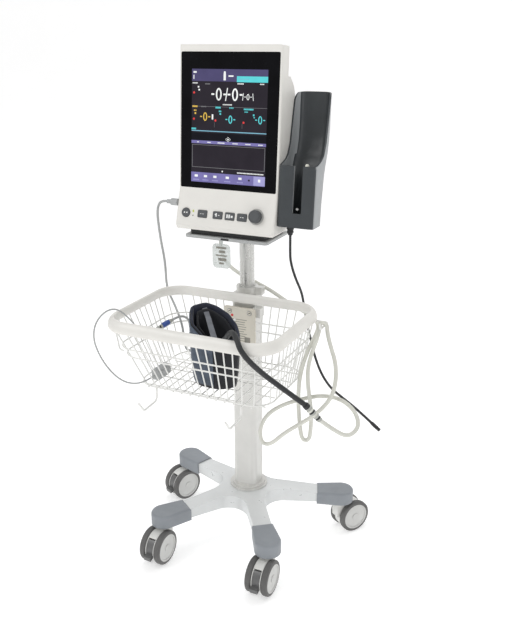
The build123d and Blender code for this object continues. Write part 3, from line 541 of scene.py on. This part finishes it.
def build_menu_knob():
    """The knob with its fine grip ribs."""
    builder = bmesh.new()
    segments = 96
    profile = ((12.4, 1.75), (12.4, 10.4), (11.2, 12.2), (9.6, 12.6), (9.0, 12.0))
    rows = []
    for radius, height in profile:
        row = []
        for step in range(segments):
            rib = 0.35 * (step % 2) if radius > 12 else 0
            turn = 2 * math.pi * step / segments
            x, y = MENU_KNOB_X + (radius - rib) * math.cos(turn), 4 + (radius - rib) * math.sin(turn)
            row.append(builder.verts.new(CHIN @ Vector((x * MM, y * MM, height * MM))))
        rows.append(row)
    for low, high in zip(rows, rows[1:]):
        for step in range(segments):
            after = (step + 1) % segments
            builder.faces.new((low[step], low[after], high[after], high[step]))
    builder.faces.new(rows[0])
    builder.faces.new(rows[-1])
    knob = finish_mesh("menu_knob_cap", builder, [KEYS], "menu_knob")
    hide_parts("menu_knob")


def build_label():
    """Generic lines and a red dot on the label plate."""
    builder = bmesh.new()
    low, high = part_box("label_plate")
    face = frame_at(at(0, -39, 455), (1, 0, 0), (0, 0, 1))
    for row in range(12):
        width = 46 - 7 * (row % 3) - 3 * (row % 2)
        tile(builder, face, (-6 + (row % 3), 74 - 5.2 * row), (width, 1.3), 0.01, 0.12)
    tile(builder, face, (18, 30), (13, 13), 0.01, 0.12)
    round_tile(builder, face, (-17, 82), (3, 3), 0.01, 0.14, 1)
    finish_mesh("label_marks", builder, [INK, RED_INK], "base")
    builder = bmesh.new()
    for x in (-23, 23):
        round_tile(builder, face, (x, 91), (5.4, 5.4), 0.05, 1.0, 0, 20)
        # The dark bar across each screw head is painted shade standing for its slot.
        tile(builder, face, (x, 91), (7, 1.2), 1.4, 1.7, 1, 0.5)
    finish_mesh("label_screw_heads", builder, [ZINC, BLACK], "base")


def build_tag_marks():
    builder = bmesh.new()
    face = frame_at(at(0, -80.8, 650), (1, 0, 0), (0, 0, 1))
    for row, (width, height) in enumerate(((22, 4), (14, 5), (24, 3), (18, 6), (10, 4))):
        tile(builder, face, (-18 + 2 * (row % 2), 42 - 8 * row), (width, height), 0.05, 0.2)
    finish_mesh("tag_marks", builder, [INK], "head")


CRADLE_SIDES = (106.6, 181)
CRADLE_SLOT = (138, 155, 777)
# The cradle's back and front lines as (height, y), and the height of its open rim as (y, height).
CRADLE_BACK = ((750, -42), (800, -34), (840, -24), (862, -15), (880, -4), (905, 4), (930, 8), (991, 12))
CRADLE_FRONT = ((750, -93), (859, -82), (991, -72))
CRADLE_RIM = ((-93, 862), (-70, 866), (-52, 872), (-42, 880), (-34, 892), (-28, 910), (-22, 935), (-13, 974),
              (-8, 984), (0, 990), (12, 991))


def between(table, value):
    """Reads a table of (place, value) pairs in straight lines."""
    for (start, low), (end, high) in zip(table, table[1:]):
        if value <= end:
            return low + (high - low) * max(0.0, (value - start) / (end - start))
    return table[-1][1]


def cradle_outline():
    """The cradle's outline from above, as (x, share of the depth from back to front)."""
    left, right = CRADLE_SIDES
    depth, rear, nose = 60, 20, 6
    corners = ((right - nose, depth - nose, nose, 90), (right - rear, rear, rear, 0),
               (left + rear, rear, rear, -90), (left + nose, depth - nose, nose, -180))
    outline = [(x, depth) for x in (138, 142, 146.5, 151, 155, 160, 167)]
    for x, y, radius, start in corners:
        for step in range(9):
            turn = math.radians(start - 90 * step / 8)
            outline.append((x + radius * math.cos(turn), y + radius * math.sin(turn)))
        if start == 90:
            outline += [(right, y) for y in (48, 42, 36, 30, 25)]
        elif start == 0:
            outline += [(x, 0) for x in (155, 144, 132)]
        elif start == -90:
            outline += [(left, y) for y in (25, 30, 36, 42, 48)]
    outline += [(x, depth) for x in (120, 129)]
    return [(x, y / depth) for x, y in outline]


def build_cradle():
    """The cradle as one smooth trough whose rim dips towards the front."""
    builder = bmesh.new()
    rows = 30
    low = CRADLE_FRONT[0][0]
    strips = []

    def depth_at(share, height):
        back, front = between(CRADLE_BACK, height), between(CRADLE_FRONT, height)
        return back + (front - back) * share

    outline = cradle_outline()
    for x, share in outline:
        bottom, top = 850, 991
        for _ in range(18):
            middle = (bottom + top) / 2
            if between(CRADLE_RIM, depth_at(share, middle)) > middle:
                bottom = middle
            else:
                top = middle
        heights = [low, CRADLE_SLOT[2]]
        heights += [CRADLE_SLOT[2] + (bottom - CRADLE_SLOT[2]) * row / rows for row in range(1, rows + 1)]
        strips.append([builder.verts.new(at(x, depth_at(share, z), z)) for z in heights])
    for index, (x, share) in enumerate(outline):
        after = (index + 1) % len(outline)
        middle = (x + outline[after][0]) / 2
        for row in range(rows + 1):
            in_slot = share == 1 and CRADLE_SLOT[0] < middle < CRADLE_SLOT[1] and row > 0
            if not in_slot:
                near, far = strips[index], strips[after]
                builder.faces.new((near[row], far[row], far[row + 1], near[row + 1]))
    builder.faces.new([strip[0] for strip in strips])
    cradle = finish_mesh("cradle_shell", builder, [CRADLE], None)
    solid = cradle.modifiers.new("thickness", "SOLIDIFY")
    solid.thickness = 3.5 * MM
    solid.offset = -1
    apply_modifiers(cradle)
    cradle.data.set_sharp_from_angle(angle=math.radians(38))
    bevel_edges(cradle, 0.7)
    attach(cradle, "head")
    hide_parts("thermometer_cradle")


def build_cradle_details():
    """The strain relief's ribs, the white peg and the small metal parts in the cradle."""
    build_cradle()
    turned("cradle_relief", (122, -60, 751), (122, -60, 727),
           [(0, 7.4, 0), (0.2, 7.4, 0), (0.21, 6.2, 0), (0.32, 6.2, 0), (0.33, 7.2, 0), (0.5, 7.1, 0),
            (0.51, 5.8, 0), (0.62, 5.8, 0), (0.63, 6.6, 0), (0.8, 6.2, 0), (0.81, 4.9, 0), (0.95, 4.6, 0),
            (1, 3.4, 0)], [RUBBER], "head", "cradle_grey")
    turned("cradle_peg", (157, -66, 754), (157, -66, 866),
           [(0, 4.2, 0), (0.93, 4.2, 0), (0.98, 3.6, 0), (1, 2.4, 0)], [PEG], "head", "cradle_grey")
    builder = bmesh.new()
    face = frame_at(at(122, -86.2, 812), (1, 0, 0), (0, 0.1, 1))
    round_tile(builder, face, (2, 0), (1.8, 1.8), -0.4, 0.5, 0)
    round_tile(builder, face, (24.5, -27), (2.6, 2.2), -3, -1.6, 0)
    finish_mesh("cradle_metal", builder, [ZINC], "head")


# ------------------------------------------------------------------ cuff

CUFF_CENTRE = (16, -178)
CUFF_RADII = (52, 35)
CUFF_FOOT = 445
# Height of the cuff's top edge at angles round it, from +X towards +Y.
CUFF_EDGE = ((-158, 584), (-82, 547), (-55, 548), (20, 551), (76, 583), (130, 602), (168, 596), (202, 584))


def edge_height(angle):
    """The top edge's height, in millimetres, at an angle in degrees."""
    angle = (angle + 158) % 360 - 158
    for (start, low), (end, high) in zip(CUFF_EDGE, CUFF_EDGE[1:]):
        if start <= angle <= end:
            share = (angle - start) / (end - start)
            share = share * share * (3 - 2 * share) * 0.5 + share * 0.5
            return low + (high - low) * share
    return CUFF_EDGE[0][1]


def cuff_reach(angle, inset, height_share):
    """How far out the cuff's wall stands: an oval with soft corners, fuller at its middle, with creases."""
    turn = math.radians(angle)
    corner = 1 / math.cos(math.radians((angle + 10) % 60 - 30))
    fullness = 0.84 + 0.18 * math.sin(math.pi * (height_share * 0.62 + 0.05))
    crease = noise.noise(Vector((math.cos(turn) * 1.6, math.sin(turn) * 1.6, height_share * 2.4)))
    fold = noise.noise(Vector((math.cos(turn) * 4 + 9, math.sin(turn) * 4, height_share * 1.5)))
    reach = (0.5 + 0.5 * corner * 0.93) * fullness + 0.035 * crease + 0.018 * fold
    x = CUFF_CENTRE[0] + (CUFF_RADII[0] - inset) * reach * math.cos(turn)
    y = CUFF_CENTRE[1] + (CUFF_RADII[1] - inset) * reach * math.sin(turn)
    return x, y


def cuff_layer(name, start, end, inset, end_inset, drop, foot, materials, thickness, columns=120, rows=26):
    """One layer of the rolled cuff, from one angle to another; the roll tightens by end_inset - inset."""
    builder = bmesh.new()
    closed = end - start == 360 and inset == end_inset
    grid = []
    for column in range(columns + (0 if closed else 1)):
        angle = start + (end - start) * column / columns
        depth = inset + (end_inset - inset) * column / columns
        top = edge_height(angle) - drop
        strip = []
        for row in range(rows + 1):
            share = row / rows
            x, y = cuff_reach(angle, depth, share)
            lip = 1.5 * math.sin(math.radians(angle * 5)) * share ** 6
            strip.append(builder.verts.new(at(x, y, foot + (top - foot) * share + lip)))
        grid.append(strip)
    pairs = list(zip(grid, grid[1:])) + ([(grid[-1], grid[0])] if closed else [])
    for left, right in pairs:
        for row in range(rows):
            builder.faces.new((left[row], right[row], right[row + 1], left[row + 1]))
    piece = finish_mesh(name, builder, materials, None, smooth=True)
    solid = piece.modifiers.new("thickness", "SOLIDIFY")
    solid.thickness = thickness * MM
    solid.offset = 0
    solid.material_offset = 1 if len(materials) > 1 else 0
    solid.material_offset_rim = 0
    smooth = piece.modifiers.new("smooth", "SUBSURF")
    smooth.levels = smooth.render_levels = 1
    apply_modifiers(piece)
    return piece


def apply_modifiers(piece):
    graph = bpy.context.evaluated_depsgraph_get()
    final = bpy.data.meshes.new_from_object(piece.evaluated_get(graph))
    piece.modifiers.clear()
    piece.data = final
    for face in final.polygons:
        face.use_smooth = True


def ribbon(name, points, width, thickness, across, materials, body):
    """A flat strap through points; across gives the direction of its width at each."""
    builder = bmesh.new()
    rows = []
    for point, direction in zip(points, across):
        side = Vector(direction).normalized() * width / 2 * MM
        rows.append((builder.verts.new(at(*point) - side), builder.verts.new(at(*point) + side)))
    for (a, b), (c, d) in zip(rows, rows[1:]):
        builder.faces.new((a, b, d, c))
    piece = finish_mesh(name, builder, materials, None, smooth=True)
    smooth = piece.modifiers.new("smooth", "SUBSURF")
    smooth.levels = smooth.render_levels = 3
    solid = piece.modifiers.new("thickness", "SOLIDIFY")
    solid.thickness = thickness * MM
    solid.offset = 0
    apply_modifiers(piece)
    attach(piece, body)
    return piece


def build_cuff():
    wall = cuff_layer("cuff_roll", -158, 202, 3, 3, 0, CUFF_FOOT, [NAVY, LINING], 5)
    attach(wall, "base")
    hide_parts("cuff")
    inner = cuff_layer("cuff_inner_turn", -40, 250, 9, 16, 9, CUFF_FOOT + 30, [LINING, LINING], 3.5, 90, 16)
    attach(inner, "base")
    flap = cuff_layer("cuff_flap", -192, -76, -1.2, -1.2, 3, CUFF_FOOT + 6, [SLATE, SLATE], 2.4, 48, 22)
    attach(flap, "base")
    floor = bmesh.new()
    round_tile(floor, Matrix.Translation(at(*CUFF_CENTRE, 0)), (0, 0), (44, 27), 470, 474, 0, 40)
    finish_mesh("cuff_bottom", floor, [LINING], "base")
    strap = ((-24, -152, 594), (-14, -160, 588), (0, -174, 577), (14, -190, 565), (25, -202, 555),
             (33, -208, 546))
    across = ((1, 0.35, 0.1), (1, 0.3, -0.1), (1, 0.3, -0.1), (1, 0.4, 0), (1, 0.6, 0.1), (1, 0.8, 0.1))
    ribbon("cuff_strap", strap, 11, 1.6, across, [STRAP], "base")
    studs = bmesh.new()
    for angle, drop in ((-150, 16), (-163, 40), (150, 6), (60, 5), (95, 6)):
        x, y = cuff_reach(angle, 0.2, 0.85)
        outward = Vector((math.cos(math.radians(angle)), math.sin(math.radians(angle)), 0))
        place = frame_at(at(x, y, edge_height(angle) - drop), outward.cross(Vector((0, 0, -1))), (0, 0, 1))
        round_tile(studs, place, (0, 0), (2.4, 2.4), -2, 3.4, 0, 12)
    finish_mesh("cuff_studs", studs, [WHITE_INK], "base")


# ------------------------------------------------------------------ cords

HOSE_PORT = (-70, 18, 770)
RELIEF_END = (122, -60, 726)
AIR_ROUTE = [HOSE_PORT, (-70, 46, 770), (-77, 60, 740), (-88, 64, 700), (-96, 62, 662), (-84, 54, 627),
             (-50, 44, 606), (2, 34, 592), (51, 18, 581), (100, -7, 568), (150, -22, 557), (180, -44, 548),
             (184, -72, 536), (179, -94, 518), (173, -106, 492), (168, -114, 462), (167, -119, 430),
             (169, -122, 395), (173, -124, 360), (178, -124, 328), (192, -121, 328), (195, -120, 352),
             (196, -120, 388), (190, -117, 420), (184, -113, 450), (182, -108, 480), (187, -102, 508),
             (194, -95, 534), (197, -90, 552), (197, -88, 569), (212, -89, 569), (215, -93, 550),
             (225, -99, 525), (238, -107, 500), (245, -120, 468), (240, -131, 434), (214, -141, 400),
             (180, -143, 372), (145, -138, 342), (112, -131, 305), (90, -126, 302), (84, -122, 330),
             (96, -115, 362), (125, -108, 386), (165, -104, 406), (210, -104, 424), (255, -116, 430),
             (290, -133, 418), (305, -154, 398), (292, -178, 386), (272, -198, 404), (251, -222, 433)]
CUFF_ROUTE = [(42, -203, 540), (54, -218, 554), (72, -240, 570), (92, -264, 592), (109, -284, 602),
              (125, -302, 598), (138, -313, 580), (161, -297, 546), (195, -266, 504), (228, -238, 466)]
PROBE_ROUTE = [RELIEF_END, (122, -60, 702), (119, -51, 672), (124, -36, 634), (129, -14, 600), (128, 3, 566),
               (133, 5, 534), (147, -7, 502), (166, -30, 472), (190, -54, 446), (218, -74, 428),
               (250, -94, 422), (283, -110, 413), (318, -124, 397)]
PROBE_TIP = (338, -132, 388)
TRUNK_ROUTE = [(-131, -92, 779), (-145, -92, 779), (-154, -92, 768), (-157, -91, 748), (-157, -87, 720),
               (-158, -80, 690), (-159, -69, 655), (-166, -54, 620), (-176, -38, 590), (-179, -26, 562),
               (-168, -22, 536), (-126, -62, 510), (-118, -69, 474), (-109, -77, 457), (-92, -85, 460),
               (-86, -87, 478), (-88, -84, 508), (-95, -87, 533), (-107.1, -98.7, 542.7), (-116, -118, 537)]
CONNECTOR_ENDS = ((-116, -118, 537), (-133, -155, 526))
SENSOR_ROUTE = [(-133, -155, 526), (-139.4, -169, 521.8), (-146, -190, 530), (-148, -222, 568),
                (-152, -256, 601), (-159, -284, 604), (-170, -303, 586), (-175, -308, 556), (-168, -304, 522),
                (-154, -294, 488), (-136, -280, 462), (-118, -262, 451), (-103, -240, 453), (-101, -216, 455)]


def route_curve(name, route, diameter):
    """A cord as one smooth spline whose control points are the route."""
    data = bpy.data.curves.new(name, "CURVE")
    data.dimensions = "3D"
    spline = data.splines.new("NURBS")
    spline.points.add(len(route) - 1)
    for point, place in zip(spline.points, route):
        point.co = (*at(*place), 1)
    spline.order_u = 3
    spline.use_endpoint_u = True
    spline.resolution_u = 10
    data.bevel_depth = diameter / 2 * MM
    data.bevel_resolution = 4
    data.use_fill_caps = True
    curve = bpy.data.objects.new(name, data)
    bpy.context.scene.collection.objects.link(curve)
    return curve


def curve_points(curve):
    """Points along a curve's own line."""
    depth = curve.data.bevel_depth
    curve.data.bevel_depth = 0
    bpy.context.view_layer.update()
    line = bpy.data.meshes.new_from_object(curve.evaluated_get(bpy.context.evaluated_depsgraph_get()))
    points = [vertex.co.copy() for vertex in line.vertices]
    bpy.data.meshes.remove(line)
    curve.data.bevel_depth = depth
    bpy.context.view_layer.update()
    return points


def lying_cord(name, route, diameter, material, node):
    """A cord that rides whole on the base."""
    curve = route_curve(name, route, diameter)
    curve.data.materials.append(material)
    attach(curve, "base")
    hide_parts(node)
    return curve


def stretched_cord(name, route, diameter, material, node):
    """A cord that hangs between the base and the head; returns its mesh tube and its path."""
    curve = route_curve(name + "_line", route, diameter)
    path = curve_points(curve)
    mesh = bpy.data.meshes.new_from_object(curve.evaluated_get(bpy.context.evaluated_depsgraph_get()))
    bpy.data.objects.remove(curve)
    mesh.materials.clear()
    mesh.materials.append(material)
    for face in mesh.polygons:
        face.use_smooth = True
        face.material_index = 0
    tube = bpy.data.objects.new(name, mesh)
    bpy.context.scene.collection.objects.link(tube)
    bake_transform(tube)
    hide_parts(node)
    return tube, path


def build_connectors():
    """The pieces on the cords."""
    pieces = {}
    pieces["coupler"] = turned(
        "hose_coupler", CUFF_ROUTE[-1], AIR_ROUTE[-1],
        [(0, 6.2, 0), (0.16, 6.4, 0), (0.17, 5.4, 1), (0.27, 5.4, 1), (0.28, 6.5, 2), (0.38, 6.5, 2),
         (0.39, 5.6, 0),
         (0.46, 5.6, 0), (0.47, 6.5, 1), (0.56, 6.5, 1), (0.57, 5.5, 2), (0.66, 5.5, 2), (0.67, 6.1, 1),
         (0.78, 5.9, 1), (0.79, 5.0, 0), (0.86, 5.0, 0), (0.87, 5.6, 1), (1, 5.2, 1)],
        [RUBBER, CLEAR_GREY, AIR_HOSE], "base", "connector_grey")
    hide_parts("hose_connector")
    pieces["trunk"] = turned(
        "trunk_socket", *CONNECTOR_ENDS,
        [(0, 3.2, 1), (0.12, 4.4, 1), (0.2, 5.2, 0), (0.3, 5.5, 0), (0.52, 5.5, 0), (0.6, 5.0, 0),
         (0.61, 4.0, 1),
         (0.7, 4.4, 1), (0.71, 3.4, 2), (0.78, 3.4, 2), (0.79, 4.2, 1), (0.92, 3.8, 1), (1, 2.2, 1)],
        [BLUE, CLEAR_GREY, BLACK], "base", "connector_blue")
    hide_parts("trunk_connector")
    pieces["plug"] = turned(
        "probe_barrel", PROBE_ROUTE[-1], PROBE_TIP,
        [(0, 2.7, 0), (0.1, 3.2, 0), (0.3, 3.5, 0), (0.75, 3.5, 0), (0.76, 2.9, 0), (0.84, 2.9, 0),
         (0.85, 3.4, 0),
         (0.96, 3.2, 0), (1, 2.4, 0)], [BLACK], "base", "hose_black")
    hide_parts("probe_plug")
    return pieces


def build_cords():
    pieces = build_connectors()
    air, air_path = stretched_cord("air_hose_tube", AIR_ROUTE, 8, AIR_HOSE, "air_hose")
    trunk, trunk_path = stretched_cord("trunk_cable_tube", TRUNK_ROUTE, 5, CABLE, "trunk_cable")
    probe, probe_path = stretched_cord("probe_cord_tube", PROBE_ROUTE, 5, RUBBER, "probe_cord")
    hose = lying_cord("cuff_hose_tube", CUFF_ROUTE, 10, RUBBER, "cuff_hose")
    lead = lying_cord("sensor_lead", SENSOR_ROUTE, 3, CABLE, "sensor_cable")


# ------------------------------------------------------------------ stage

CAMERA_PLACE = (691.2, -1432.6, 1091.5)
CAMERA_TURN = math.radians(25.1)
CAMERA_PITCH = math.radians(19.34)
CAMERA_ROLL = math.radians(-0.27)


def build_camera():
    data = bpy.data.cameras.new("camera")
    data.lens = 45.5
    data.sensor_width = 36
    data.sensor_fit = "AUTO"
    camera = bpy.data.objects.new("camera", data)
    turn = Matrix.Rotation(CAMERA_TURN, 4, "Z") @ Matrix.Rotation(math.pi / 2 - CAMERA_PITCH, 4, "X")
    camera.matrix_world = Matrix.Translation(at(*CAMERA_PLACE)) @ turn @ Matrix.Rotation(CAMERA_ROLL, 4, "Z")
    bpy.context.scene.collection.objects.link(camera)
    bpy.context.scene.camera = camera


def build_backdrop():
    """A pale floor that curves up into a wall far behind."""
    material = surface("backdrop_white", (0.86, 0.86, 0.86), 0.75, mottle=0.01, mottle_size=400, grain=0.02)
    shader = material.node_tree.nodes["Principled BSDF"]
    shader.inputs["Emission Color"].default_value = (1, 1, 1, 1)
    shader.inputs["Emission Strength"].default_value = 0.42
    outline = [(-7, 0), (4, 0)]
    for step in range(1, 13):
        turn = math.radians(90 * step / 12)
        outline.append((4 + 3 * math.sin(turn), 3 - 3 * math.cos(turn)))
    outline.append((7, 9))
    builder = bmesh.new()
    rows = [(builder.verts.new((-11, y, z)), builder.verts.new((11, y, z))) for y, z in outline]
    for (a, b), (c, d) in zip(rows, rows[1:]):
        builder.faces.new((a, b, d, c))
    finish_mesh("backdrop", builder, [material], None, smooth=True)


def area_light(name, place, target, size, power, colour=(1, 1, 1)):
    data = bpy.data.lights.new(name, "AREA")
    data.shape = "RECTANGLE"
    data.size, data.size_y = size
    data.energy = power
    data.color = colour
    lamp = bpy.data.objects.new(name, data)
    lamp.location = place
    lamp.rotation_euler = (Vector(target) - Vector(place)).to_track_quat("-Z", "Y").to_euler()
    bpy.context.scene.collection.objects.link(lamp)


def build_light():
    world = bpy.data.worlds.new("studio")
    world.use_nodes = True
    world.node_tree.nodes["Background"].inputs["Color"].default_value = (1, 1, 1, 1)
    world.node_tree.nodes["Background"].inputs["Strength"].default_value = 0.55
    bpy.context.scene.world = world
    bpy.context.scene.view_settings.view_transform = "Standard"
    area_light("key_light", (-1.5, -2.0, 2.6), (0, 0, 0.6), (1.4, 1.4), 26)
    area_light("fill_light", (2.2, -1.4, 1.6), (0, 0, 0.6), (0.8, 1.8), 8)
    area_light("top_light", (0.2, 0.6, 3.0), (0, 0, 0.5), (2.0, 1.2), 14)


build_camera()
build_light()
build_backdrop()
build_cords()
build_screen()
build_key_marks()
build_case_details()
build_menu_knob()
build_label()
build_tag_marks()
build_cradle_details()
build_cuff()
